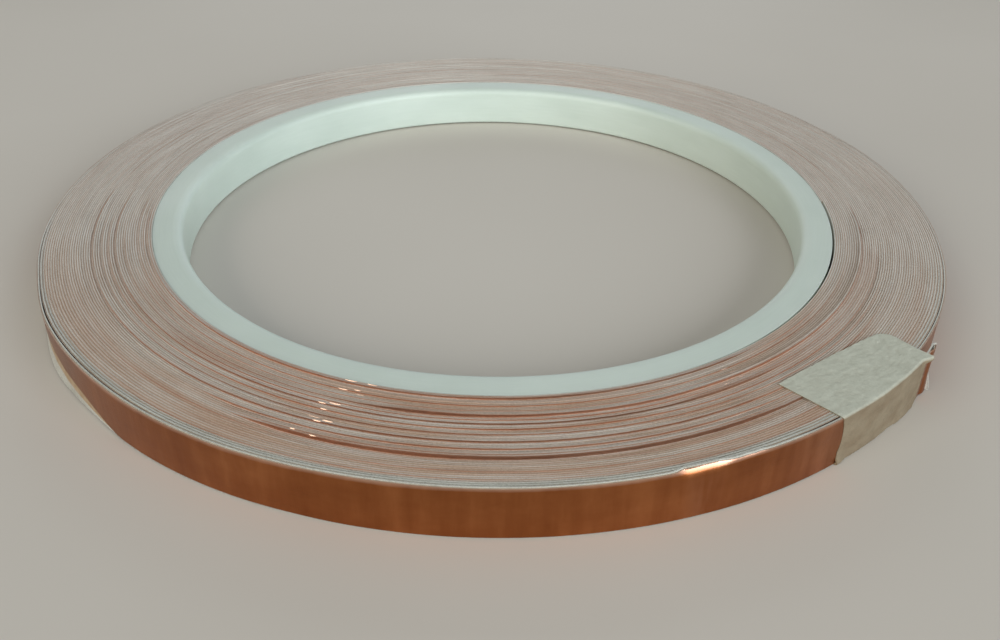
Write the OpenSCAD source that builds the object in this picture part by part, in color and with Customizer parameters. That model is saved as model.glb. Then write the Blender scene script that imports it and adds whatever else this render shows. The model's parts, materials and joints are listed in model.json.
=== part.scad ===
// Roll of self-adhesive copper foil tape on a plastic core, held shut by a paper tab.
// The origin is the centre of the core's bore at half the roll's width. +Z is the bore's axis.
// The foil faces outwards and the wound tape runs anticlockwise, seen from above, to its loose end.

/* [Core] */
// Diameter of the hole through the core
bore_d = 76.2; // [74:0.1:80]
// Thickness of the core's wall
core_wall = 3.5; // [2.5:0.1:4.5]
// Size of the small chamfer on both edges of the bore
bore_chamfer = 0.4; // [0.2:0.1:0.8]

/* [Tape] */
// Width of the tape and of the core
tape_w = 5.56; // [4.76:0.01:6.35]
// Thickness of the paper release liner
liner_t = 0.13; // [0.1:0.01:0.16]
// Thickness of the adhesive on the foil
adhesive_t = 0.04; // [0.03:0.005:0.05]
// Thickness of the copper foil
foil_t = 0.065; // [0.05:0.005:0.08]
// Air left between one layer and the next
layer_gap = 0.005; // [0.004:0.001:0.01]
// Whole turns of tape, the last of which has the loose stretch
turns = 49; // [20:1:60]

/* [Loose end] */
// Radius that the loose stretch of the outer turn follows, from the front of the roll
loose_r = 56; // [55:0.5:60]
// Angle that the loose stretch covers about its own centre
loose_sweep = 51; // [40:1:70]
// Length of the free tail past the loose stretch, up to its crease
tail_len = 1.9; // [1:0.1:4]
// Length of the creased tip of the tail
tip_len = 0.6; // [0.3:0.1:1]
// Angle by which the tail leans away from the roll
tail_lean = 16; // [5:1:30]
// Further angle by which the tip is creased outwards
tip_lean = 40; // [10:5:70]
// Space between the liner's tail and the foil's tail
tail_gap = 0.03; // [0.02:0.01:0.1]

/* [Holding tab] */
// Width of the strip of masking tape, measured along the rim
tab_w = 16; // [12:0.5:18]
// Reach of the top flap over the wound face, at its left edge
tab_reach_left = 7; // [4:0.1:9]
// Reach of the top flap over the wound face, at its right edge
tab_reach_right = 4.9; // [3:0.1:9]
// Reach of the flap under the roll
tab_reach_under = 3.5; // [2:0.1:6]
// Thickness of the tab's crepe paper
paper_t = 0.1; // [0.08:0.01:0.14]
// Thickness of the tab's adhesive
paste_t = 0.03; // [0.02:0.01:0.05]
// Radius of the flap's right inner corner
corner_r = 1.5; // [0.5:0.1:2]

/* [Hidden] */

$fn = 180;
half_w = tape_w / 2;
core_r = bore_d / 2 + core_wall;

// Each layer's own depth inside the tape, measured outwards from the liner's inner face.
adhesive_at = liner_t + layer_gap;
foil_at = adhesive_at + adhesive_t + layer_gap;
tape_t = foil_at + foil_t;
pitch = tape_t + layer_gap;

// A spiral made of half circles. Those above the X axis are centred on the bore and
// those below it are centred half a pitch to the right, so each turn grows by one pitch.
start_r = core_r + layer_gap;
last_r = start_r + (turns - 1) * pitch + pitch / 2;
lower_centre = [pitch / 2, 0];

// The loose stretch leaves the last turn at the front of the roll, tangent to it.
loose_from = -90;
loose_centre = lower_centre + [0, loose_r - last_r];
loose_to = loose_from + loose_sweep;
tail_root = loose_centre + (loose_r + tape_t) * direction(loose_to);

// The tab is laid square on the loose stretch and ends just short of the tape's end.
sliver = 0.02;
end_margin = 0.55;
rim_r = loose_r + tape_t;
tab_sweep = 2 * asin(tab_w / 2 / rim_r);
tab_mid = loose_to - (end_margin / rim_r) * 180 / PI - tab_sweep / 2;
tab_t = sliver + paste_t + paper_t;

function direction(a) = [cos(a), sin(a)];

// A band of the given thickness and height about Z, swept from one direction to another.
module arc_band(r, thickness, from, to, z_low, z_high)
  rotate([0, 0, from])
    rotate_extrude(angle = to - from)
      translate([r, z_low])
        square([thickness, z_high - z_low]);

// One layer of the tape, from the core to the end of the loose stretch.
module wound_layer(depth, thickness) {
  for (turn = [0 : turns - 1])
    arc_band(start_r + turn * pitch + depth, thickness, 0, 180, -half_w, half_w);
  translate(lower_centre) {
    for (turn = [0 : turns - 2])
      arc_band(start_r + (turn + 0.5) * pitch + depth, thickness, 180, 360, -half_w, half_w);
    arc_band(last_r + depth, thickness, 180, 360 + loose_from, -half_w, half_w);
  }
  translate(loose_centre)
    arc_band(loose_r + depth, thickness, loose_from, loose_to, -half_w, half_w);
}

// One layer of the free tail: a straight stretch and a creased tip. Depth and thickness
// are measured inwards from the foil's outer face, where the tail bends.
module tail_layer(depth, thickness) {
  mitre = tan(tip_lean / 2);
  function stretch(h) = [[0, h], [tail_len + h * mitre, h]];
  function tip(h) = [tail_len + h * mitre, h] + (tip_len) * [cos(tip_lean), -sin(tip_lean)];
  near = stretch(depth);
  far = stretch(depth + thickness);
  translate([tail_root[0], tail_root[1], -half_w])
    rotate([0, 0, loose_to + 90 - tail_lean])
      translate([sliver, 0, 0])
        linear_extrude(tape_w)
          polygon([near[0], near[1], tip(depth), tip(depth + thickness), far[1], far[0]]);
}

// Puts its children on the tab: +X points out of the roll and +Y along the rim.
module on_tab()
  translate(loose_centre)
    rotate([0, 0, tab_mid])
      children();

// One layer of the tab's stretch down the side of the roll.
module side_layer(depth, thickness)
  on_tab()
    arc_band(rim_r + depth, thickness, -tab_sweep / 2, tab_sweep / 2,
             -half_w - tab_t, half_w + tab_t);

// The outline of a flap between the rim and its inner edge, with one rounded corner.
module flap(reach_left, reach_right, z_low, thickness) {
  half = tab_w / 2;
  inner_left = [rim_r - reach_left, -half];
  inner_right = [rim_r - reach_right, half];
  slope = (inner_right - inner_left) / norm(inner_right - inner_left);
  on_tab()
    translate([0, 0, z_low])
      intersection() {
        cylinder(h = thickness, r = rim_r);
        union() {
          linear_extrude(thickness)
            polygon([
              inner_left,
              inner_right - corner_r * slope,
              inner_right + [corner_r, -corner_r],
              inner_right + [corner_r, 0],
              [rim_r + 1, half],
              [rim_r + 1, -half]
            ]);
          translate(inner_right + [corner_r, -corner_r])
            cylinder(h = thickness, r = corner_r);
        }
      }
}

module core_ring()
  color("#c9d6cf")
    difference() {
      translate([0, 0, -half_w])
        cylinder(h = tape_w, r = core_r);
      translate([0, 0, -half_w - 1])
        cylinder(h = tape_w + 2, d = bore_d);
      for (side = [0, 1])
        mirror([0, 0, side])
          translate([0, 0, half_w - bore_chamfer])
            cylinder(h = bore_chamfer * 2, r1 = bore_d / 2, r2 = bore_d / 2 + bore_chamfer * 2);
    }

module release_liner()
  color("#e6e2d8")
    wound_layer(0, liner_t);

module foil_adhesive()
  color("#cdbb9a")
    wound_layer(adhesive_at, adhesive_t);

module copper_foil()
  color("#b3622f")
    wound_layer(foil_at, foil_t);

module foil_tail()
  color("#b3622f")
    tail_layer(0, foil_t);

module adhesive_tail()
  color("#cdbb9a")
    tail_layer(foil_t + layer_gap, adhesive_t);

module liner_tail()
  color("#e6e2d8")
    tail_layer(foil_t + layer_gap + adhesive_t + tail_gap, liner_t);

module tab_side_adhesive()
  color("#cfc79a")
    side_layer(sliver, paste_t);

module tab_side_paper()
  color("#b4b39c")
    side_layer(sliver + paste_t, paper_t);

module tab_top_adhesive()
  color("#cfc79a")
    flap(tab_reach_left, tab_reach_right, half_w + sliver, paste_t);

module tab_top_paper()
  color("#b9c2a9")
    flap(tab_reach_left, tab_reach_right, half_w + sliver + paste_t, paper_t);

module tab_under_adhesive()
  color("#cfc79a")
    flap(tab_reach_under, tab_reach_under, -half_w - sliver - paste_t, paste_t);

module tab_under_paper()
  color("#b9c2a9")
    flap(tab_reach_under, tab_reach_under, -half_w - tab_t, paper_t);

core_ring();
release_liner();
foil_adhesive();
copper_foil();
liner_tail();
adhesive_tail();
foil_tail();
tab_side_adhesive();
tab_side_paper();
tab_top_adhesive();
tab_top_paper();
tab_under_adhesive();
tab_under_paper();
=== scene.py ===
"""Looks for a roll of copper foil tape on a plastic core, held shut by a paper tab.

Everything is worked out in millimetres in the frame (origin at the bore's centre, +Z along the
bore) and turned into metres when a mesh is made.
"""

import json
import math

import bpy
import numpy as np
from mathutils import Matrix, Vector


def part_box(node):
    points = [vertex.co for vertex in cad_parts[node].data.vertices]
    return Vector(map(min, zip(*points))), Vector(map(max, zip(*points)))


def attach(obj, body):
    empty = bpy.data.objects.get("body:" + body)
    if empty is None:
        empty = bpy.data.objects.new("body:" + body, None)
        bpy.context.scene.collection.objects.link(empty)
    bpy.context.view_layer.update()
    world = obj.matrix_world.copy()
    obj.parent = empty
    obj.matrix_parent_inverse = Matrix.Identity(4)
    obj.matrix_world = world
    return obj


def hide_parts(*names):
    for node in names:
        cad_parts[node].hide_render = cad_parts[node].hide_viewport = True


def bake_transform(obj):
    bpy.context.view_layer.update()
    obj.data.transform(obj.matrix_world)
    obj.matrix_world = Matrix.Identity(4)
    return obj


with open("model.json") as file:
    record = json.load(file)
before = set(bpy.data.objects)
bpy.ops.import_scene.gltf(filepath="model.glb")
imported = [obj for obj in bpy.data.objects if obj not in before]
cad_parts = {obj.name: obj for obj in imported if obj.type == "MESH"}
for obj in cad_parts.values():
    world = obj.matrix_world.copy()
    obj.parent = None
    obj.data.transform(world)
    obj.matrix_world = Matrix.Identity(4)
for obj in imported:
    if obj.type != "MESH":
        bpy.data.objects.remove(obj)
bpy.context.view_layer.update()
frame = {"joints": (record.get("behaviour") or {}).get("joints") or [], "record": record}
MM = 0.001

# ---------------------------------------------------------------------------------------------
# Sizes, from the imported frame
# ---------------------------------------------------------------------------------------------


def box_mm(node):
    low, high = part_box(node)
    return np.array(low) / MM, np.array(high) / MM


def joint_mm(name):
    """Where a joint's axis is, and which way it points."""
    joint = next(j for j in frame["joints"] if j["name"] == name)
    return np.array(joint["pos_m"]) / MM, np.array(joint["axis"], float)


HALF_W = box_mm("core_ring")[1][2]
CORE_R = box_mm("core_ring")[1][0]
BORE_R = next(m for m in frame["record"]["mounts"] if m["kind"] == "bore")["dims"]["r_mm"]
TURNS = 49
PITCH = (-box_mm("copper_foil")[0][0] - CORE_R) / TURNS

# One turn of tape, as shares of the pitch: liner, adhesive and foil with a little air between.
AIR = 0.02 * PITCH
LINER_T = 0.52 * PITCH
GLUE_T = 0.16 * PITCH
FOIL_T = 0.26 * PITCH
GLUE_AT = LINER_T + AIR
FOIL_AT = GLUE_AT + GLUE_T + AIR
TAPE_T = FOIL_AT + FOIL_T
START_R = CORE_R + AIR

TAIL_ROOT, _ = joint_mm("tail_lift")
END_AZ = math.degrees(math.atan2(TAIL_ROOT[1], TAIL_ROOT[0]))
END_TURN = TURNS - 1 + (END_AZ + 360) / 360
LOOSE_TURN = TURNS - 0.25

TAB_T = -HALF_W - box_mm("tab_under_paper")[0][2]
PAPER_T = box_mm("tab_top_paper")[1][2] - box_mm("tab_top_paper")[0][2]
PASTE_T = box_mm("tab_top_adhesive")[1][2] - box_mm("tab_top_adhesive")[0][2]
FLOOR_Z = -HALF_W - TAB_T


# ---------------------------------------------------------------------------------------------
# Small maths
# ---------------------------------------------------------------------------------------------


def smooth(low, high, x):
    t = np.clip((np.asarray(x, float) - low) / (high - low), 0, 1)
    return t * t * (3 - 2 * t)


def window(x, low, high, fade):
    """1 between low and high, fading to 0 over fade on both sides."""
    return smooth(low - fade, low, x) * (1 - smooth(high, high + fade, x))


def azimuth(turn):
    """Degrees, from -180 to 180."""
    return (np.asarray(turn) * 360 + 180) % 360 - 180


def unit(az):
    a = np.radians(az)
    return np.stack([np.cos(a), np.sin(a)], -1)


class Noise:
    """Smooth seeded noise along a line, about -1 to 1, with one knot per step."""

    def __init__(self, seed, knots=4096):
        self.values = np.random.default_rng(seed).uniform(-1, 1, knots)

    def __call__(self, x):
        x = np.asarray(x, float)
        i = np.floor(x).astype(int)
        f = x - i
        f = f * f * (3 - 2 * f)
        n = len(self.values)
        return self.values[i % n] * (1 - f) + self.values[(i + 1) % n] * f


class Noise2:
    """Smooth seeded noise over a plane, about -1 to 1, with one knot per step."""

    def __init__(self, seed, knots=256):
        self.values = np.random.default_rng(seed).uniform(-1, 1, (knots, knots))

    def __call__(self, x, y):
        x, y = np.broadcast_arrays(np.asarray(x, float), np.asarray(y, float))
        i, j = np.floor(x).astype(int), np.floor(y).astype(int)
        f, g = x - i, y - j
        f, g = f * f * (3 - 2 * f), g * g * (3 - 2 * g)
        v, n = self.values, len(self.values)
        a = v[i % n, j % n] * (1 - f) + v[(i + 1) % n, j % n] * f
        b = v[i % n, (j + 1) % n] * (1 - f) + v[(i + 1) % n, (j + 1) % n] * f
        return a * (1 - g) + b * g


# ---------------------------------------------------------------------------------------------
# Meshes
# ---------------------------------------------------------------------------------------------


def new_object(name, points, faces, sharp=40):
    mesh = bpy.data.meshes.new(name)
    mesh.from_pydata((np.asarray(points) * MM).tolist(), [], faces)
    mesh.update()
    mesh.polygons.foreach_set("use_smooth", [True] * len(mesh.polygons))
    mesh.set_sharp_from_angle(angle=math.radians(sharp))
    piece = bpy.data.objects.new(name, mesh)
    bpy.context.scene.collection.objects.link(piece)
    return piece


def grid_faces(m, n, start=0, flip=False):
    i, j = np.meshgrid(np.arange(m - 1), np.arange(n - 1), indexing="ij")
    a = start + i * n + j
    quads = np.stack([a, a + n, a + n + 1, a + 1], -1).reshape(-1, 4)
    return quads[:, ::-1] if flip else quads


def shell(name, front, back, sharp=40):
    """A closed sheet between two grids of points. The front grid's rows run right-handed.

    The faces along its edge come last and take the second material, if there is one.
    """
    m, n = front.shape[:2]
    count = m * n
    index = np.arange(count).reshape(m, n)
    rim = np.concatenate([index[0, :-1], index[:-1, -1], index[-1, :0:-1], index[:0:-1, 0]])
    after = np.roll(rim, -1)
    edge = np.stack([rim, after, after + count, rim + count], -1)
    faces = np.concatenate([grid_faces(m, n), grid_faces(m, n, count, True), edge[:, ::-1]])
    points = np.concatenate([front.reshape(-1, 3), back.reshape(-1, 3)])
    piece = new_object(name, points, faces.tolist(), sharp)
    slots = np.zeros(len(faces), int)
    slots[-len(edge) :] = 1
    piece.data.polygons.foreach_set("material_index", slots)
    return piece


def fix_normals(piece):
    bpy.context.view_layer.objects.active = piece
    for o in bpy.context.selected_objects:
        o.select_set(False)
    piece.select_set(True)
    bpy.ops.object.mode_set(mode="EDIT")
    bpy.ops.mesh.select_all(action="SELECT")
    bpy.ops.mesh.normals_make_consistent(inside=False)
    bpy.ops.object.mode_set(mode="OBJECT")
    piece.select_set(False)


# ---------------------------------------------------------------------------------------------
# The wound tape
# ---------------------------------------------------------------------------------------------


def wound_r(turn):
    """Radius of the liner's inner face: half circles on two centres, then the loose stretch."""
    turn = np.asarray(turn, float)
    k = np.floor(turn)
    lower = (turn - k) >= 0.5
    r = START_R + (k + np.where(lower, 0.5, 0)) * PITCH
    r = r + np.where(lower, np.cos(turn * 2 * np.pi) * PITCH / 2, 0)
    return r + loose_end(turn)


# The share of the loose end's gap that each turn takes up, from the outermost inwards, before
# the tab and past it.
LOOSE_BEFORE = [1, 0.72, 0.54, 0.40, 0.28, 0.19, 0.12, 0.07, 0.03, 0]
LOOSE_PAST = [1, 0.26, 0.21, 0.165, 0.125, 0.09, 0.06, 0.035, 0.015, 0]


def loose_end(turn):
    """How far a turn stands off the roll towards the loose end, and past it for the turns inside."""
    end_r = math.hypot(*TAIL_ROOT[:2]) - TAPE_T
    tight = START_R + (TURNS - 0.5) * PITCH + np.cos(END_TURN * 2 * np.pi) * PITCH / 2
    from_end = np.clip(np.floor(TURNS - 0.25 + 0.5 - turn).astype(int), 0, len(LOOSE_PAST) - 1)
    away = azimuth(turn + from_end) - azimuth(LOOSE_TURN)
    s = np.clip(away / (azimuth(END_TURN) - azimuth(LOOSE_TURN)), 0, 2.2)
    rise = np.where(s < 1, s * s, (1 + 2 * (s - 1)) * (1 - smooth(1.0, 1.6, s)))
    past = smooth(0.66, 0.95, s)
    share = np.take(LOOSE_BEFORE, from_end) * (1 - past) + np.take(LOOSE_PAST, from_end) * past
    return (end_r - tight) * rise * share


# How far the outer turns stand off the roll at the front left, from the outermost inwards.
SLACK = [0.475] + [0.39 - 0.037 * k for k in range(11)]


def slack(turn):
    from_end = np.floor(END_TURN - np.asarray(turn, float)).astype(int)
    amount = np.where(from_end < len(SLACK), np.take(SLACK, np.minimum(from_end, len(SLACK) - 1)), 0)
    az = azimuth(turn)
    shape = smooth(-158, -144, az) * (1 - smooth(-122, -98, az))
    shut = np.where(from_end == 0, 0.07 * (1 - window(az, -147, -128, 10)), 0)
    return (amount - shut) * shape


def taken_up(turn):
    """How much of the gap inside a slack turn its liner fills; the outermost turn's gap stays open."""
    t = np.asarray(turn, float)
    before = np.maximum(t - 1, 0)
    gap = slack(t) - slack(before) + loose_end(t) - loose_end(before)
    return np.where((t < END_TURN - 1) & (t > 2), 0.75 * np.clip(gap, 0, 0.2), 0)


wave_long, wave_short = Noise(21), Noise(22)
OUTER_R = 54  # About the roll's outer radius, in mm.


def flare(turn, z):
    """The bare liner at the lower left leans out at its foot."""
    az = azimuth(turn)
    foot = np.clip(-z / HALF_W, 0, 1) ** 1.5
    return np.where(np.asarray(turn) > END_TURN - 1.05, 0.42 * window(az, -160, -145, 11) * foot, 0)


def waves(turn):
    """Slight hollows and swellings of the outer turn, only ever outwards."""
    t = np.asarray(turn, float)
    ramp = smooth(END_TURN - 1.0, END_TURN - 0.93, t)
    mm = t * 2 * np.pi * OUTER_R
    return ramp * (0.012 * (1 + wave_long(mm / 9)) + 0.006 * (1 + wave_short(mm / 2.3)))


def press(turn, z):
    """The outer turn's top edge is folded over a little beside the loose stretch."""
    t = np.asarray(turn, float)
    last = t > END_TURN - 1
    az = azimuth(t)
    depth = 0.20 + 0.32 * window(az, -71.8, -68.8, 1.6) + 0.05 * wave_short(az * 1.3)
    over = np.clip((z - HALF_W + depth) / depth, 0, 1)
    return np.where(last, -0.75 * depth * window(az, -71.4, -64.4, 2.0) * over, 0)


# Where the edge of the winding steps down from one turn to the next, seen from outside:
# (turn, azimuth from, azimuth to, step in mm).
STEPS = [
    (1, -166, -58, 0.22), (3, -172, -40, 0.10), (5, -172, -30, 0.13),
    (8, -150, -60, 0.08), (11, -98, -8, 0.30), (11, -160, -98, 0.10), (13, -130, -70, 0.16),
    (15, -172, -58, 0.22), (12, -62, -20, 0.12), (13, -62, -20, 0.13), (14, -62, -20, 0.15),
    (15, -62, -20, 0.15), (16, -62, -20, 0.13), (17, -62, -20, 0.11), (18, -165, -20, 0.17),
    (21, -165, -30, 0.13), (25, -174, -40, 0.21), (29, -116, -50, 0.22), (32, -112, -48, 0.10),
    (33, -110, -48, 0.46), (36, -150, -60, 0.03), (40, -100, -40, 0.03),
    (44, -122, -50, 0.06),
]
# Turns whose liner stands a little above their foil: (turn, azimuth from, azimuth to, mm).
PROUD_LINER = [
    (0, -166, -58, -0.05), (1, -166, -58, -0.05), (4, -125, -55, 0.10), (11, -60, -10, 0.08),
    (17, -165, -70, 0.06), (23, -165, -50, 0.07), (27, -165, -50, 0.06), (30, -165, -50, 0.04),
    (45, -116, -62, 0.05), (46, -118, -60, 0.08), (47, -165, -52, 0.09), (48, -165, -52, 0.09),
]
BINS = 240


def step_table(steps, first_az):
    """Height of every turn's edge by azimuth, from its steps, evened out so that it doesn't drift."""
    az = first_az + np.arange(BINS + 1) * 360 / BINS
    drop = np.zeros((TURNS + 2, BINS + 1))
    for turn, low, high, mm in steps:
        drop[turn + 1] += mm * window(az, low, high, 9)
    height = -np.cumsum(drop, axis=0)
    reach = np.arange(-12, 13)
    weight = np.exp(-((reach / 3.2) ** 2) / 2)
    padded = np.pad(height, ((12, 12), (0, 0)), mode="edge")
    even = sum(w * padded[12 + k : 12 + k + len(height)] for k, w in zip(reach, weight))
    return height - even / weight.sum()


def lift_table(lifts, first_az):
    az = first_az + np.arange(BINS + 1) * 360 / BINS
    height = np.zeros((TURNS + 2, BINS + 1))
    for turn, low, high, mm in lifts:
        height[turn] += mm * window(az, low, high, 9)
    return height


def read_table(table, turn, first_turn):
    """Looks up a table whose turns are counted from azimuth first_turn * 360."""
    t = np.asarray(turn, float) - first_turn
    k = np.clip(np.floor(t).astype(int), 0, TURNS + 1)
    x = (t - np.floor(t)) * BINS
    i = np.minimum(x.astype(int), BINS - 1)
    f = x - i
    return table[k, i] * (1 - f) + table[k, i + 1] * f


def random_steps():
    """Faults at the back of the roll, where no particular ones are wanted."""
    rng = np.random.default_rng(5)
    found = []
    for turn in (1, 4, 7, 9, 12, 15, 18, 20, 24, 28, 31, 35, 38, 42, 45):
        middle, half = rng.uniform(60, 120), rng.uniform(35, 75)
        low, high = max(middle - half, -20), min(middle + half, 190)
        found.append((turn, low, high, rng.uniform(0.03, 0.11)))
    return found


# A turn is counted from the back of the roll for faults at the front, and the other way round.
FRONT_STEPS = step_table([(k, a + 360, b + 360, s) for k, a, b, s in STEPS], 90)
FRONT_FOIL = lift_table([(k, a + 360, b + 360, 0.03 + 0.12 * s) for k, a, b, s in STEPS], 90)
FRONT_LINER = lift_table([(k, a + 360, b + 360, s) for k, a, b, s in PROUD_LINER], 90)
BACK_STEPS = step_table(random_steps(), -90)
edge_slow, edge_fast = Noise(31), Noise(32)


def tab_cover(turn):
    """1 where the tab lies on the winding."""
    az = azimuth(turn)
    return window(az, -57, -36, 3) * smooth(18, 20, turn)


def edge_height(turn):
    """How far a turn stands above the plane of the wound face."""
    t = np.asarray(turn, float)
    height = read_table(FRONT_STEPS, t, 0.25) + read_table(BACK_STEPS, t, -0.25)
    height = height + 0.010 * edge_slow(t * 1.7) + 0.008 * edge_fast(t * 9.0)
    cap = 0.015 + 0.6 * (1 - tab_cover(t))
    return np.minimum(height, cap)


foil_noise, liner_noise = Noise(41), Noise(42)


def layer_edge(layer, turn):
    """A layer's own height against the tape's, in mm."""
    t = np.asarray(turn, float)
    proud = read_table(FRONT_LINER, t, 0.25) * (1 - tab_cover(t))
    if layer == "liner":
        return proud + 0.006 * liner_noise(t * 40)
    bared = read_table(FRONT_FOIL, t, 0.25)
    if layer == "glue":
        return -0.022 + np.minimum(proud, 0) + 0.5 * bared
    return -0.012 + 0.016 * foil_noise(t * 25) + bared


def foil_short(turn):
    """Height of bare liner under the adhesive of the outer turn, at the lower left."""
    t = np.asarray(turn, float)
    az = azimuth(t) % 360
    shape = smooth(170, 200, az) * np.clip((231 - az) / 23, 0, 1) * 2.1
    shape = shape + 0.09 * window(az, 195, 252, 6)
    return np.where(t > END_TURN - 1.05, shape * (1 + 0.06 * foil_noise(t * 300)), 0)


def glue_bare(turn):
    """Height of bare adhesive above that, where the foil is shorter still."""
    t = np.asarray(turn, float)
    az = azimuth(t) % 360
    shape = smooth(176, 206, az) * (1 - smooth(223, 231, az)) * 1.2
    return np.where(t > END_TURN - 1.05, shape, 0)


def foil_end_turn(back=0.0):
    """The turn at which the tape has back mm to go to its end."""
    return END_TURN - back / (2 * np.pi * math.hypot(*TAIL_ROOT[:2]))


def stations(end):
    coarse = np.arange(0, END_TURN - 1.15, 1 / 120)
    fine = np.arange(END_TURN - 1.15, end - 1e-4, 1 / 720)
    return np.concatenate([coarse, fine, [end]])


def strip_grid(turn, depth, low, high, levels):
    """Points on a face of a strip: one row per station, from its lower to its upper edge."""
    share = np.asarray(levels)[None, :]
    z = low[:, None] * (1 - share) + high[:, None] * share
    t = turn[:, None] + 0 * z
    r = wound_r(t) + slack(t) + waves(t) + press(t, z) + flare(t, z) + depth
    if depth == 0:
        r = r - taken_up(t)
    p = unit(azimuth(t))
    return np.stack([p[..., 0] * r, p[..., 1] * r, z], -1)


def wound_strip(name, layer, depth, thickness, levels, end):
    turn = stations(end)
    height = edge_height(turn)
    low = -HALF_W + np.maximum(height, -0.005) * 0.8
    high = HALF_W + height + layer_edge(layer, turn)
    if layer == "foil":
        low = low + foil_short(turn) + glue_bare(turn)
    if layer == "glue":
        low = low + foil_short(turn) + 0.03
    front = strip_grid(turn, depth + thickness, low, high, levels)
    back = strip_grid(turn, depth, low, high, levels)
    return shell(name, front, back)


# Slivers of foil bent outwards at a turn's upper edge: (turn, azimuth, length in mm).
SLIVERS = [
    (0, -107.5, 0.9), (0, -104.6, 0.7), (4, -106.0, 0.5), (5, -107.8, 0.8), (6, -105.4, 0.6),
    (14, -107.4, 0.9), (15, -108.9, 0.6), (16, -107.0, 0.8), (18, -108.2, 0.5), (23, -108.6, 0.9),
    (24, -106.8, 0.8), (25, -107.9, 0.6), (32, -109.6, 0.4), (33, -107.2, 0.5), (5, -58.4, 0.6),
    (8, -57.8, 0.6), (10, -58.6, 0.8), (12, -57.6, 0.6), (13, -60.2, 0.5),
]


SLIVER_T = 0.055
SLIVER_SUNK = 0.02


def make_slivers():
    """Each sliver is a small wedge on the foil's outer face, with its slope facing up and out."""
    points, faces = [], []
    sides = 3
    for turn, az, length in SLIVERS:
        half = 0.65 * length / (2 * math.pi * (CORE_R + turn * PITCH))
        along = turn + (az + 360) / 360 + np.linspace(-half, half, 7)
        thick = SLIVER_T * np.sqrt(np.sin(np.linspace(0.12, math.pi - 0.12, len(along))))
        start = len(points)
        for t, wide in zip(along, thick):
            r = float(wound_r(t)) + TAPE_T - SLIVER_SUNK
            # The turn outside may stand higher than its neighbour, and the sliver has to show.
            rise = max(float(edge_height(t + k) + layer_edge("foil", t + k)) for k in (0, 1))
            top = HALF_W + rise + wide / 2
            for out, z in ((0, top), (0, top - wide - 0.01), (wide, top - wide)):
                points.append([*(unit(azimuth(t)) * (r + out)), z])
        for k in range(len(along) - 1):
            for j in range(sides):
                a, b = start + k * sides + j, start + k * sides + (j + 1) % sides
                faces.append([a, b, b + sides, a + sides])
        last = len(points) - sides
        faces += [[start + 2, start + 1, start], [last, last + 1, last + 2]]
    piece = new_object("foil_slivers", points, faces, 30)
    fix_normals(piece)
    return piece


# ---------------------------------------------------------------------------------------------
# The core
# ---------------------------------------------------------------------------------------------


def core_profile():
    """Half section of the core as (radius, height), anticlockwise from the bore's lower lip."""
    top = HALF_W
    corners = [
        (BORE_R, -top, 0.42), (CORE_R, -top, 0.10), (CORE_R, top - 0.03, 0.13),
        (BORE_R + 1.15, top - 0.03, 0.12), (BORE_R, top - 0.14, 0.85),
    ]
    return round_corners(corners, 9)


def round_corners(corners, steps):
    """A closed outline with each corner replaced by an arc of about its radius."""
    made = []
    n = len(corners)
    for i, (x, y, r) in enumerate(corners):
        p = np.array([x, y])
        a, b = np.array(corners[i - 1][:2]), np.array(corners[(i + 1) % n][:2])
        da, db = (a - p) / np.linalg.norm(a - p), (b - p) / np.linalg.norm(b - p)
        for s in np.linspace(0, 1, steps):
            made.append(p + da * r * (1 - s) ** 2 + db * r * s**2)
    return np.array(made)


def make_core():
    profile = core_profile()
    count, n = 360, len(profile)
    az = np.arange(count) * 360 / count
    wobble = Noise(51, 24)
    bend = 0.02 * wobble(az / 15)
    ring = unit(az)
    r = profile[None, :, 0] + 0 * az[:, None]
    z = profile[None, :, 1] + bend[:, None] * (profile[None, :, 0] < BORE_R + 0.8)
    points = np.stack([ring[:, None, 0] * r, ring[:, None, 1] * r, z], -1).reshape(-1, 3)
    i, j = np.meshgrid(np.arange(count), np.arange(n), indexing="ij")
    a, b = i * n + j, ((i + 1) % count) * n + j
    c, d = ((i + 1) % count) * n + (j + 1) % n, i * n + (j + 1) % n
    faces = np.stack([a, b, c, d], -1).reshape(-1, 4)
    piece = new_object("core", points, faces.tolist(), 60)
    fix_normals(piece)
    return piece


# ---------------------------------------------------------------------------------------------
# The tab
# ---------------------------------------------------------------------------------------------

TAB_HINGE, _ = joint_mm("tab_peel")
TAB_AZ = math.degrees(math.atan2(TAB_HINGE[1], TAB_HINGE[0]))
REACH_UNDER = 3.5
TAB_LEFT, TAB_RIGHT = -7.65, 8.05
CORNER_R = 1.3
FOLD_R = 0.24
# Air under the tab's adhesive, and between its adhesive and its paper.
TAB_AIR, PAPER_AIR = 0.002, 0.003
CREPE_SUNK, CREPE_RELIEF = 0.025, 0.055


def tab_rim_r(az):
    """Radius of the tape's outer face under the tab."""
    turn = TURNS - 1 + (np.asarray(az) % 360) / 360
    turn = np.minimum(turn, END_TURN)
    return wound_r(turn) + waves(turn) + TAPE_T


def tab_reach(u):
    """How far the flap reaches in over the wound face, at u mm along the rim from its middle."""
    straight = 6.60 - 0.11 * u - 0.012 * u * u
    edge = Noise(61)
    straight = straight + 0.05 * edge(u * 1.1 + 40) + 0.03 * edge(u * 4 + 90)
    past = np.clip((u - (TAB_RIGHT - CORNER_R)) / CORNER_R, 0, 1)
    return straight - CORNER_R * (1 - np.sqrt(np.maximum(1 - past**2, 0)))


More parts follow.
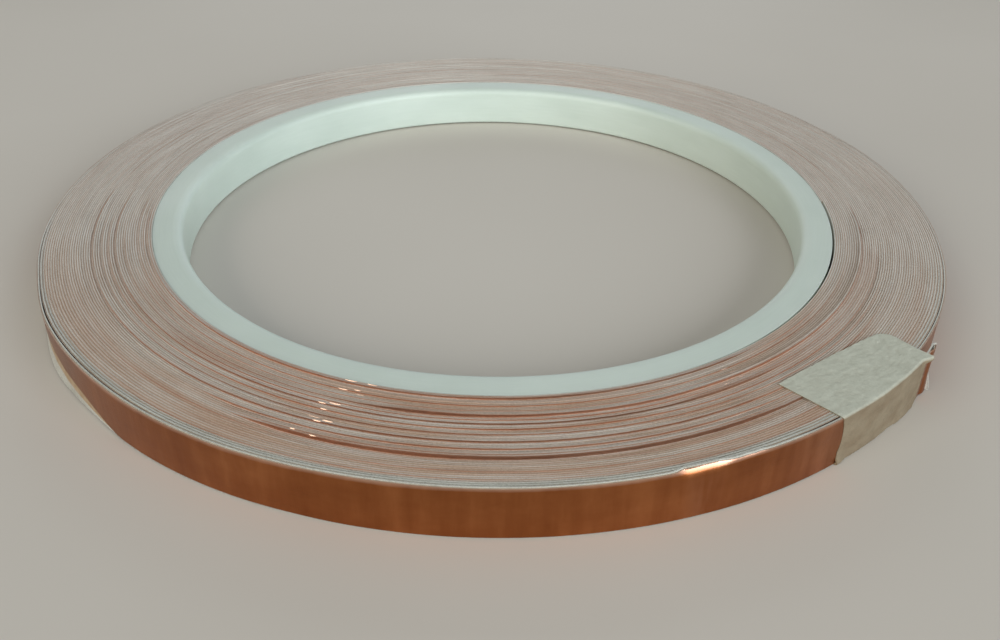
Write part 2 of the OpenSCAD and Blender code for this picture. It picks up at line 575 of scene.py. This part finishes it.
def tab_profile(reach, count_top, count_side, count_under, offset):
    """The tab's section at one place along the rim, as (outwards from the rim, height)."""
    turn_r = FOLD_R
    out = offset
    top = HALF_W + 0.02 + offset
    v = np.linspace(0, 1, count_top)
    flat = np.stack([-reach + v * (reach + out - turn_r), np.full(count_top, top)], -1)
    a = np.linspace(0, np.pi / 2, 7)[1:]
    fold = np.stack([out - turn_r + turn_r * np.sin(a), top - turn_r + turn_r * np.cos(a)], -1)
    z = np.linspace(top - turn_r, -top + turn_r, count_side)[1:]
    side = np.stack([np.full(len(z), out), z], -1)
    under_fold = np.stack([out - turn_r + turn_r * np.cos(a), -top + turn_r - turn_r * np.sin(a)], -1)
    w = np.linspace(0, 1, count_under)[1:]
    under = np.stack([(out - turn_r) * (1 - w) - REACH_UNDER * w, np.full(len(w), -top)], -1)
    return np.concatenate([flat, fold, side, under_fold, under])


TAB_ACROSS, TAB_TOP, TAB_SIDE, TAB_UNDER = 132, 64, 52, 20
crepe_a, crepe_b, crepe_c = Noise2(71), Noise2(72), Noise2(73)


def crepe(u, v):
    """Height of the crepe paper's wrinkles, which run along u, about 0 to 1."""
    big = crepe_a(u * 0.7, v * 2.4)
    small = crepe_b(u * 1.9, v * 5.2)
    spots = crepe_c(u * 3.1, v * 3.3)
    return np.clip(0.5 + 0.24 * big + 0.28 * small + 0.16 * spots, 0, 1)


def tab_points(offset, relief=0.0):
    """A grid of points on the tab: across it from left to right, and along it from the inner edge."""
    grid = []
    rim_mid = tab_rim_r(TAB_AZ)
    for u in np.linspace(TAB_LEFT, TAB_RIGHT, TAB_ACROSS):
        az = TAB_AZ + math.degrees(u / rim_mid)
        section = tab_profile(tab_reach(u), TAB_TOP, TAB_SIDE, TAB_UNDER, offset)
        v = np.concatenate([[0], np.cumsum(np.linalg.norm(np.diff(section, axis=0), axis=1))])
        v = v - v[TAB_TOP - 1]
        rough = relief * crepe(u + 40, v + 40)
        normal = np.gradient(section, axis=0)
        normal = np.stack([-normal[:, 1], normal[:, 0]], -1)
        normal /= np.linalg.norm(normal, axis=1)[:, None]
        section = section + normal * rough[:, None]
        grid.append((u, az, section))
    points = []
    mid = unit(TAB_AZ)
    side = np.array([-mid[1], mid[0]])
    for u, az, section in grid:
        rim = unit(az) * tab_rim_r(az)
        rho, z = section[:, 0], section[:, 1]
        # The flap lies flat, square to the tab's middle; the side follows the rim.
        skew = side_bow(u, z) + right_edge(u, rho)
        rho = rho + fold_bulge(u, rho, z)
        xy = rim[None, :] + mid[None, :] * rho[:, None] + side[None, :] * skew[:, None]
        points.append(np.column_stack([xy, z]))
    return np.array(points)


def side_bow(u, z):
    """The tab's left edge is bowed, and further to the right at its foot, down the side."""
    left = 1 - smooth(TAB_LEFT, TAB_LEFT + 5, u)
    level = z / HALF_W
    bow = np.clip(1 - ((level - 0.3) / 0.8) ** 2, 0, 1)
    return left * (0.55 * (1 - smooth(-1, 1, level)) + 0.50 * bow)


def right_edge(u, rho):
    """The right edge runs back a little towards the rim."""
    return -0.40 * smooth(TAB_RIGHT - 3, TAB_RIGHT, u) * smooth(-5, -0.5, rho)


def fold_bulge(u, rho, z):
    """The paper stands out at the fold's right corner, and where it turns under the roll."""
    near_rim = smooth(-1.5, -0.1, rho)
    corner = smooth(HALF_W - 0.9, HALF_W - 0.1, z) * smooth(TAB_RIGHT - 1.9, TAB_RIGHT, u)
    foot = 1 - smooth(-HALF_W, -HALF_W + 0.9, z)
    foot = foot * (0.20 * window(u, 3.2, 6.4, 1.6) + 0.24 * window(u, TAB_LEFT, TAB_LEFT + 0.5, 1.2))
    return near_rim * (0.60 * corner + foot)


def make_tab():
    outer = tab_points(PASTE_T + PAPER_T - CREPE_SUNK, CREPE_RELIEF)
    paper = shell("tab_paper", outer, tab_points(PASTE_T))
    paste = shell("tab_adhesive", tab_points(PASTE_T - PAPER_AIR), tab_points(TAB_AIR))
    for piece in (paper, paste):
        fix_normals(piece)
    rim = np.append(unit(TAB_AZ) * tab_rim_r(TAB_AZ), 0)
    for piece in (paper, paste):
        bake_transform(piece)
    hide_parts("tab_side_paper", "tab_top_paper", "tab_under_paper")
    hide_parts("tab_side_adhesive", "tab_top_adhesive", "tab_under_adhesive")
    return paper, paste


# ---------------------------------------------------------------------------------------------
# The free tail
# ---------------------------------------------------------------------------------------------

# Each layer's way from the root in plan: (length in mm, turn in degrees over it), inwards positive.
LINER_WAY = [(0.35, 5), (0.95, 0), (0.28, -75)]
FOIL_WAY = [(0.30, -24), (0.80, 34), (0.42, 6)]
# The liner's end piece starts this far back along the roll, in mm, so that it can bend.
LINER_LEAD = 1.2


def bend_path(start, heading, lengths_turns, steps):
    """A path in plan made of stretches: (length, turn in degrees over that stretch)."""
    p, a = np.array(start, float), heading
    path, headings = [p.copy()], [a]
    for length, turn in lengths_turns:
        for _ in range(steps):
            a += turn / steps
            p = p + unit(a) * length / steps
            path.append(p.copy())
            headings.append(a)
    return np.array(path), np.array(headings)


def tail_sheet(name, depth, thickness, lead, way, low, high, curl):
    """One layer of the tail. lead is how far back along the roll it starts, in mm."""
    rows = 9
    steps_in = 8
    lead_turns = np.array([END_TURN])
    if lead:
        lead_turns = np.linspace(foil_end_turn(lead), END_TURN, steps_in)
    front, back = [], []
    levels = np.linspace(0, 1, rows)
    for d, store in ((depth + thickness, front), (depth, back)):
        for level in levels:
            z = low * (1 - level) + high * level
            az = azimuth(lead_turns)
            r = wound_r(lead_turns) + waves(lead_turns) + d
            inside = unit(az) * r[:, None]
            foot = 1 - smooth(0, 0.45, level)
            lengths = [(length, turn - curl * foot) for length, turn in way]
            lengths[-1] = (lengths[-1][0] * (1 + 0.045 * curl * foot), lengths[-1][1])
            path, heading = bend_path([0, 0], END_AZ + 89, lengths, 6)
            side = unit(heading + 90)
            drawn = TAIL_ROOT[None, :2] + path + side * (TAPE_T - d)
            line = np.concatenate([inside[:-1], drawn]) if lead else drawn
            store.append(np.column_stack([line, np.full(len(line), z)]))
    front, back = np.array(front).transpose(1, 0, 2), np.array(back).transpose(1, 0, 2)
    piece = shell(name, front, back)
    fix_normals(piece)
    return piece


def make_tail():
    high = HALF_W + 0.02
    low = -HALF_W + 0.02
    liner = tail_sheet("liner_end", 0, LINER_T, LINER_LEAD, LINER_WAY, low, high + 0.03, 9)
    glue = tail_sheet("foil_end_adhesive", GLUE_AT, GLUE_T, 0, FOIL_WAY, low + 0.04, high - 0.08, 4)
    foil = tail_sheet("foil_end_copper", FOIL_AT, FOIL_T, 0, FOIL_WAY, low, high - 0.05, 4)
    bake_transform(liner)
    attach(glue, "foil_end")
    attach(foil, "foil_end")
    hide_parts("liner_tail")
    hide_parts("adhesive_tail")
    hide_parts("foil_tail")
    return liner, glue, foil


# ---------------------------------------------------------------------------------------------
# Materials
# ---------------------------------------------------------------------------------------------


class Shader:
    """A Principled material with short ways to add and link nodes."""

    def __init__(self, name, **constants):
        self.material = bpy.data.materials.new(name)
        self.material.use_nodes = True
        self.tree = self.material.node_tree
        self.bsdf = self.tree.nodes["Principled BSDF"]
        self.where = self.tree.nodes.new("ShaderNodeTexCoord").outputs["Object"]
        for socket, value in constants.items():
            self.bsdf.inputs[socket.replace("_", " ")].default_value = value

    def set(self, socket, value):
        if isinstance(value, bpy.types.NodeSocket):
            self.tree.links.new(value, self.bsdf.inputs[socket])
        else:
            self.bsdf.inputs[socket].default_value = value

    def node(self, kind, **inputs):
        made = self.tree.nodes.new(kind)
        for key, value in inputs.items():
            socket = made.inputs[int(key[1:])] if key[0] == "i" and key[1:].isdigit() else made.inputs[key]
            if isinstance(value, bpy.types.NodeSocket):
                self.tree.links.new(value, socket)
            else:
                socket.default_value = value
        return made

    def stretched(self, x, y, z, where=None):
        """Object coordinates in millimetres, scaled along each axis."""
        made = self.node("ShaderNodeMapping", Vector=where or self.where)
        made.inputs["Scale"].default_value = (x / MM, y / MM, z / MM)
        return made.outputs["Vector"]

    def noise(self, where, scale=1.0, detail=3.0, rough=0.5):
        made = self.node("ShaderNodeTexNoise", Vector=where, Scale=scale, Detail=detail, Roughness=rough)
        return made.outputs["Fac"]

    def math(self, kind, a, b=0.0, c=0.0):
        made = self.node("ShaderNodeMath", i0=a, i1=b, i2=c)
        made.operation = kind
        return made.outputs[0]

    def spread(self, value, low, high, to_low=0.0, to_high=1.0):
        made = self.node("ShaderNodeMapRange", i0=value)
        for i, v in zip((1, 2, 3, 4), (low, high, to_low, to_high)):
            made.inputs[i].default_value = v
        return made.outputs[0]

    def ramp(self, value, *stops):
        made = self.node("ShaderNodeValToRGB", Fac=value)
        band = made.color_ramp.elements
        while len(band) < len(stops):
            band.new(0.5)
        for element, (at, colour) in zip(band, stops):
            element.position = at
            element.color = (*colour, 1)
        return made.outputs["Color"]

    def mix(self, share, a, b, kind="MIX"):
        made = self.tree.nodes.new("ShaderNodeMix")
        made.data_type = "RGBA"
        made.blend_type = kind
        for i, value in ((0, share), (6, a), (7, b)):
            if isinstance(value, bpy.types.NodeSocket):
                self.tree.links.new(value, made.inputs[i])
            elif i == 0:
                made.inputs[i].default_value = value
            else:
                made.inputs[i].default_value = (*value, 1)
        return made.outputs[2]

    def bump(self, height, strength, mm):
        made = self.node("ShaderNodeBump", Height=height, Strength=strength, Distance=mm * MM)
        self.tree.links.new(made.outputs["Normal"], self.bsdf.inputs["Normal"])

    def polar(self):
        """Radius, direction along the rim and height, all in millimetres, as a vector."""
        parts = self.node("ShaderNodeSeparateXYZ", i0=self.where)
        x, y, z = parts.outputs
        r = self.math("SQRT", self.math("ADD", self.math("MULTIPLY", x, x), self.math("MULTIPLY", y, y)))
        angle = self.math("ARCTAN2", y, x)
        r_mm = self.math("MULTIPLY", r, 1 / MM)
        z_mm = self.math("MULTIPLY", z, 1 / MM)
        along = self.math("MULTIPLY", angle, ALONG_R)
        return self.node("ShaderNodeCombineXYZ", i0=r_mm, i1=along, i2=z_mm).outputs[0]

    def scaled(self, vector, x, y, z):
        made = self.node("ShaderNodeMapping", Vector=vector)
        made.inputs["Scale"].default_value = (x, y, z)
        return made.outputs["Vector"]


OUTER_BAND_R = CORE_R + 46.5 * PITCH
ALONG_R = CORE_R + 6
# Where a soft lighter patch is painted on the wall below the glint: a painted reflection.
PAINTED_REFLECTION_AT = math.radians(-69.6) * ALONG_R
# Where the wall is painted lighter beside the tab.
LIGHTER_BY_TAB_AT = math.radians(-55.0) * ALONG_R


def copper_material():
    """Rolled foil. Its outer wall is darkened copper, a painted dark reflection; the turns inside get a
    painted reflection of the lit wound face; the top rim is paler, partly bare copper and partly a painted
    highlight.
    """
    s = Shader("copper_foil_finish", Metallic=1.0)
    round_roll = s.polar()
    patches = s.noise(s.stretched(0.16, 0.16, 0.3), detail=4, rough=0.6)
    streaks = s.noise(s.scaled(round_roll, 0.2, 0.55, 0.08), detail=4, rough=0.6)
    tone = s.math("ADD", s.math("MULTIPLY", patches, 0.45), s.math("MULTIPLY", streaks, 0.55))
    # The wall's copper is darker than bare copper: a painted dark reflection, standing in for a dark table in
    # front of the roll that the scene leaves out.
    wall = s.ramp(
        tone,
        (0.3, (0.27, 0.084, 0.025)),
        (0.5, (0.345, 0.117, 0.038)),
        (0.72, (0.45, 0.168, 0.060)),
    )
    # Brighter copper for the turns inside the outer band: painted reflected light from the lit wound face
    # around them, mixed in where r is inside the outer band.
    by_turn = s.noise(s.scaled(round_roll, 1.35, 0.012, 0), detail=2)
    bright = s.ramp(
        by_turn, (0.36, (0.24, 0.12, 0.075)), (0.46, (0.56, 0.25, 0.14)), (0.60, (0.72, 0.36, 0.22))
    )
    r, along, z = s.node("ShaderNodeSeparateXYZ", i0=round_roll).outputs
    inner = s.spread(r, OUTER_BAND_R, OUTER_BAND_R + 0.2, 1, 0)
    # Painted reflection: a soft lighter patch on the wall below the glint.
    painted_reflection_patch = s.spread(s.math("ABSOLUTE", s.math("SUBTRACT", along, PAINTED_REFLECTION_AT)), 0.2, 2.0, 0.34, 0)
    lighter_by_tab = s.spread(s.math("ABSOLUTE", s.math("SUBTRACT", along, LIGHTER_BY_TAB_AT)), 0.5, 4.5, 0.24, 0)
    # Both patches follow the streaks: the one below the glint is a painted reflection, the other is the wall
    # made lighter beside the tab.
    painted_reflection_and_tab_patch = s.math("MULTIPLY", s.math("MAXIMUM", painted_reflection_patch, lighter_by_tab), s.spread(streaks, 0.35, 0.6))
    wall = s.mix(s.math("MAXIMUM", inner, painted_reflection_and_tab_patch), wall, bright)
    # Paler copper along the top rim: partly bare copper at the edge, partly a painted highlight that makes
    # the glint nearly white.
    rim = s.spread(s.math("ADD", z, s.math("MULTIPLY", patches, 0.5)), HALF_W - 0.20, HALF_W + 0.2, 0, 0.55)
    s.set("Base Color", s.mix(rim, wall, (0.88, 0.60, 0.46)))
    rolling = s.noise(s.scaled(round_roll, 0.2, 0.12, 22), detail=4, rough=0.7)
    polish = s.math("ADD", rolling, s.math("MULTIPLY", patches, 0.5))
    s.set("Roughness", s.spread(polish, 0.4, 1.1, 0.24, 0.42))
    dents = s.noise(s.scaled(round_roll, 1, 1.2, 0.6), detail=4)
    relief = s.math("ADD", s.math("MULTIPLY", rolling, 0.4), dents)
    s.bump(relief, 0.35, 0.05)
    return s.material


def with_painted_bounce(s, round_roll, paper):
    """A colour with painted light: a pink bounce from the copper, in patches, on all but the outermost turns,
    and painted shade on the outermost turns, both strongest at the front of the roll.
    """
    r = s.node("ShaderNodeSeparateXYZ", i0=round_roll).outputs[0]
    y = s.node("ShaderNodeSeparateXYZ", i0=s.where).outputs[1]
    inside = s.spread(r, OUTER_BAND_R - 0.1, OUTER_BAND_R + 0.1, 1, 0)
    # The painted light is strongest at the front of the roll, by y.
    front = s.spread(y, -42 * MM, -12 * MM, 1, 0.12)
    # Painted pink bounce light from the copper, in patches.
    painted_bounce_patches = s.spread(s.noise(s.scaled(round_roll, 1.1, 0.06, 0.2), detail=3), 0.38, 0.62, 0.35, 1)
    share = s.math("MULTIPLY", painted_bounce_patches, s.math("MULTIPLY", inside, front))
    bounce_lit = s.mix(share, paper, (0.80, 0.59, 0.48), "MULTIPLY")
    # Painted shade: the outermost turns at the front are darkened.
    outside = s.math("MULTIPLY", s.math("SUBTRACT", 1.0, inside), front)
    return s.mix(outside, bounce_lit, (0.80, 0.82, 0.80), "MULTIPLY")


def copper_edge_material():
    """The slit edges of the foil, dull and pinkish, with smears of adhesive, and a painted pink bounce from
    the copper at the front.
    """
    s = Shader("copper_edge_finish", Metallic=0.08, Roughness=0.7)
    round_roll = s.polar()
    smears = s.noise(s.scaled(round_roll, 1.6, 0.25, 1), detail=4, rough=0.65)
    specks = s.noise(s.stretched(3.5, 3.5, 3.5), detail=4, rough=0.7)
    tone = s.math("ADD", s.math("MULTIPLY", smears, 0.6), s.math("MULTIPLY", specks, 0.4))
    edge = s.ramp(tone, (0.32, (0.44, 0.30, 0.23)), (0.5, (0.56, 0.45, 0.375)), (0.68, (0.62, 0.55, 0.49)))
    # Painted light: pink bounce from the copper at the front, and painted shade on the outermost turns there.
    s.set("Base Color", with_painted_bounce(s, round_roll, edge))
    s.bump(specks, 0.5, 0.03)
    return s.material


def liner_material():
    """White release paper, with a painted pink bounce from the copper at the front except in the outermost
    turns, which get painted shade there.
    """
    s = Shader("liner_paper_finish", Roughness=0.78)
    round_roll = s.polar()
    fibres = s.noise(s.stretched(5, 5, 5), detail=6, rough=0.8)
    patches = s.noise(s.scaled(round_roll, 4, 0.15, 0.4), detail=4)
    tone = s.math("ADD", s.math("MULTIPLY", fibres, 0.65), s.math("MULTIPLY", patches, 0.35))
    paper = s.ramp(tone, (0.33, (0.38, 0.365, 0.325)), (0.5, (0.61, 0.60, 0.545)), (0.7, (0.78, 0.765, 0.71)))
    # Painted light: pink bounce from the copper at the front, and painted shade on the outermost turns there.
    s.set("Base Color", with_painted_bounce(s, round_roll, paper))
    s.bump(fibres, 0.5, 0.03)
    return s.material


def glue_material():
    s = Shader("foil_adhesive_finish", Roughness=0.42)
    blotches = s.noise(s.stretched(1.2, 1.2, 1.2), detail=4)
    s.set("Base Color", s.ramp(blotches, (0.35, (0.38, 0.255, 0.14)), (0.65, (0.47, 0.345, 0.215))))
    s.bump(s.noise(s.stretched(4, 4, 4)), 0.3, 0.02)
    return s.material


def core_material():
    s = Shader("core_plastic_finish", Subsurface_Weight=0.35, Subsurface_Scale=0.0015)
    s.bsdf.inputs["Subsurface Radius"].default_value = (1.0, 1.0, 0.9)
    round_roll = s.polar()
    cloud = s.noise(s.stretched(0.07, 0.07, 0.2), detail=3)
    fine = s.noise(s.scaled(round_roll, 6, 0.15, 3), detail=4, rough=0.65)
    tone = s.math("ADD", s.math("MULTIPLY", cloud, 0.7), s.math("MULTIPLY", fine, 0.3))
    s.set("Base Color", s.ramp(tone, (0.35, (0.565, 0.655, 0.585)), (0.65, (0.63, 0.72, 0.65))))
    s.set("Roughness", s.spread(fine, 0.3, 0.7, 0.44, 0.58))
    s.bump(s.math("ADD", fine, s.noise(s.stretched(1.5, 1.5, 1.5), detail=4)), 0.12, 0.04)
    return s.material


def paper_material():
    s = Shader("crepe_paper_finish", Roughness=0.82)
    spots = s.noise(s.stretched(1.1, 1.1, 1.1), detail=5, rough=0.65)
    fibres = s.noise(s.stretched(5, 5, 5), detail=5, rough=0.7)
    tone = s.math("ADD", s.math("MULTIPLY", spots, 0.6), s.math("MULTIPLY", fibres, 0.4))
    paper = s.ramp(
        tone, (0.34, (0.47, 0.49, 0.40)), (0.5, (0.53, 0.55, 0.455)), (0.68, (0.585, 0.605, 0.505))
    )
    z = s.node("ShaderNodeSeparateXYZ", i0=s.where).outputs[2]
    down_side = s.spread(z, (HALF_W - 0.08) * MM, (HALF_W + 0.16) * MM, 1, 0)
    soft = s.noise(s.scaled(s.polar(), 0.2, 0.35, 0.5), detail=2)
    copper_under = s.mix(s.spread(soft, 0.35, 0.65), (0.40, 0.29, 0.215), (0.48, 0.37, 0.29))
    s.set("Base Color", s.mix(down_side, paper, s.mix(1.0, paper, copper_under, "MULTIPLY")))
    s.bump(s.math("ADD", spots, fibres), 0.5, 0.05)
    return s.material


def paste_material():
    s = Shader("tab_adhesive_finish", Roughness=0.45)
    blotches = s.noise(s.stretched(1.5, 1.5, 1.5), detail=4)
    s.set("Base Color", s.ramp(blotches, (0.35, (0.50, 0.44, 0.27)), (0.65, (0.62, 0.56, 0.38))))
    s.bump(blotches, 0.4, 0.03)
    return s.material


def floor_material():
    s = Shader("floor_finish", Roughness=0.7)
    cloud = s.noise(s.stretched(0.01, 0.01, 0.01))
    s.set("Base Color", s.ramp(cloud, (0.3, (0.60, 0.565, 0.50)), (0.7, (0.64, 0.605, 0.54))))
    return s.material


def finish_with(piece, material, edge_material=None):
    """Faces on a shell's edge have index 1, and go back to 0 without an edge material."""
    piece.data.materials.append(material)
    if edge_material:
        piece.data.materials.append(edge_material)
    else:
        piece.data.polygons.foreach_set("material_index", np.zeros(len(piece.data.polygons), int))


# ---------------------------------------------------------------------------------------------
# Stage
# ---------------------------------------------------------------------------------------------

CAMERA_AIM = np.array([1.334, -29.144, HALF_W])
CAMERA_DISTANCE = 100.07
CAMERA_ELEVATION = 33.30
CAMERA_ROLL = 1.03
CAMERA_LENS = 35.206


def make_camera():
    e, roll = math.radians(CAMERA_ELEVATION), math.radians(CAMERA_ROLL)
    forward = np.array([0, math.cos(e), -math.sin(e)])
    level, above = np.array([1.0, 0, 0]), np.array([0, math.sin(e), math.cos(e)])
    right = math.cos(roll) * level + math.sin(roll) * above
    up = -math.sin(roll) * level + math.cos(roll) * above
    data = bpy.data.cameras.new("camera")
    data.lens, data.sensor_width = CAMERA_LENS, 36
    data.shift_x, data.shift_y = -0.0021, 0.001
    data.clip_start, data.clip_end = 0.005, 30
    camera = bpy.data.objects.new("camera", data)
    matrix = Matrix.Identity(4)
    for column, axis in enumerate((right, up, -forward)):
        for row in range(3):
            matrix[row][column] = axis[row]
    place = (CAMERA_AIM - forward * CAMERA_DISTANCE) * MM
    for row in range(3):
        matrix[row][3] = place[row]
    camera.matrix_world = matrix
    bpy.context.scene.collection.objects.link(camera)
    bpy.context.scene.camera = camera


FLOOR_HALF = 9000.0
FLOOR_LINES = 61


def make_floor():
    """A wide floor whose grid is finest under the roll."""
    count = FLOOR_LINES
    line = np.linspace(-1, 1, count) ** 3 * FLOOR_HALF
    x, y = np.meshgrid(line, line, indexing="ij")
    points = np.stack([x, y, np.full_like(x, FLOOR_Z)], -1).reshape(-1, 3)
    floor = new_object("floor", points, grid_faces(count, count).tolist())
    floor.data.materials.append(floor_material())


def area_light(name, az, elevation, distance, size, power, colour):
    """A soft square light, aimed at the roll. Sizes in millimetres, power in watts."""
    data = bpy.data.lights.new(name, "AREA")
    data.shape, data.size = "SQUARE", size * MM
    data.energy, data.color = power, colour
    light = bpy.data.objects.new(name, data)
    a, e = math.radians(az), math.radians(elevation)
    where = Vector((math.cos(a) * math.cos(e), math.sin(a) * math.cos(e), math.sin(e)))
    light.location = where * distance * MM
    light.rotation_mode = "QUATERNION"
    light.rotation_quaternion = where.to_track_quat("Z", "Y")
    bpy.context.scene.collection.objects.link(light)


def make_lights():
    area_light("key", -51, 22, 2400, 1760, 50, (0.90, 0.95, 1.0))
    area_light("back", 92, 15, 2800, 1680, 17, (0.90, 0.96, 1.0))
    area_light("fill", 226, 27, 2600, 1800, 32, (1.0, 0.93, 0.84))
    world = bpy.data.worlds.new("studio")
    bpy.context.scene.world = world
    world.use_nodes = True
    world.node_tree.nodes["Background"].inputs["Color"].default_value = (0.80, 0.83, 0.85, 1)
    world.node_tree.nodes["Background"].inputs["Strength"].default_value = 0.25
    bpy.context.scene.view_settings.view_transform = "Standard"


# ---------------------------------------------------------------------------------------------
# Assembly
# ---------------------------------------------------------------------------------------------

# Rows of points across a strip, as shares of its height.
PAPER_ROWS = [0, 0.06, 0.3, 0.7, 0.9, 0.95, 1]
FOIL_ROWS = [0, 0.06, 0.2, 0.5, 0.8, 0.9, 0.95, 1]


def make_roll():
    core = make_core()
    seam = foil_end_turn(LINER_LEAD)
    liner = wound_strip("wound_liner", "liner", 0, LINER_T, PAPER_ROWS, seam)
    glue = wound_strip("wound_adhesive", "glue", GLUE_AT, GLUE_T, PAPER_ROWS, END_TURN)
    foil = wound_strip("wound_copper", "foil", FOIL_AT, FOIL_T, FOIL_ROWS, END_TURN)
    for piece in (core, liner, glue, foil):
        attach(piece, "roll")
    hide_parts("core_ring")
    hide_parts("release_liner")
    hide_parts("foil_adhesive")
    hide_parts("copper_foil")
    return core, liner, glue, foil


def sliver_material():
    s = Shader("foil_sliver_finish", Metallic=1.0)
    grain = s.noise(s.stretched(6, 6, 6), detail=3)
    s.set("Base Color", s.ramp(grain, (0.3, (0.80, 0.52, 0.38)), (0.7, (0.90, 0.66, 0.52))))
    s.set("Roughness", s.spread(grain, 0.3, 0.7, 0.26, 0.40))
    return s.material


make_camera()
make_floor()
make_lights()

core, liner, glue, foil = make_roll()
slivers = make_slivers()
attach(slivers, "roll")
tab_paper, tab_paste = make_tab()
liner_end, glue_end, foil_end = make_tail()

copper, liner_paper, adhesive = copper_material(), liner_material(), glue_material()
finish_with(core, core_material())
finish_with(liner, liner_paper)
finish_with(liner_end, liner_paper)
finish_with(glue, adhesive)
finish_with(glue_end, adhesive)
finish_with(foil, copper, copper_edge_material())
finish_with(slivers, sliver_material())
finish_with(foil_end, copper)
finish_with(tab_paper, paper_material())
finish_with(tab_paste, paste_material())
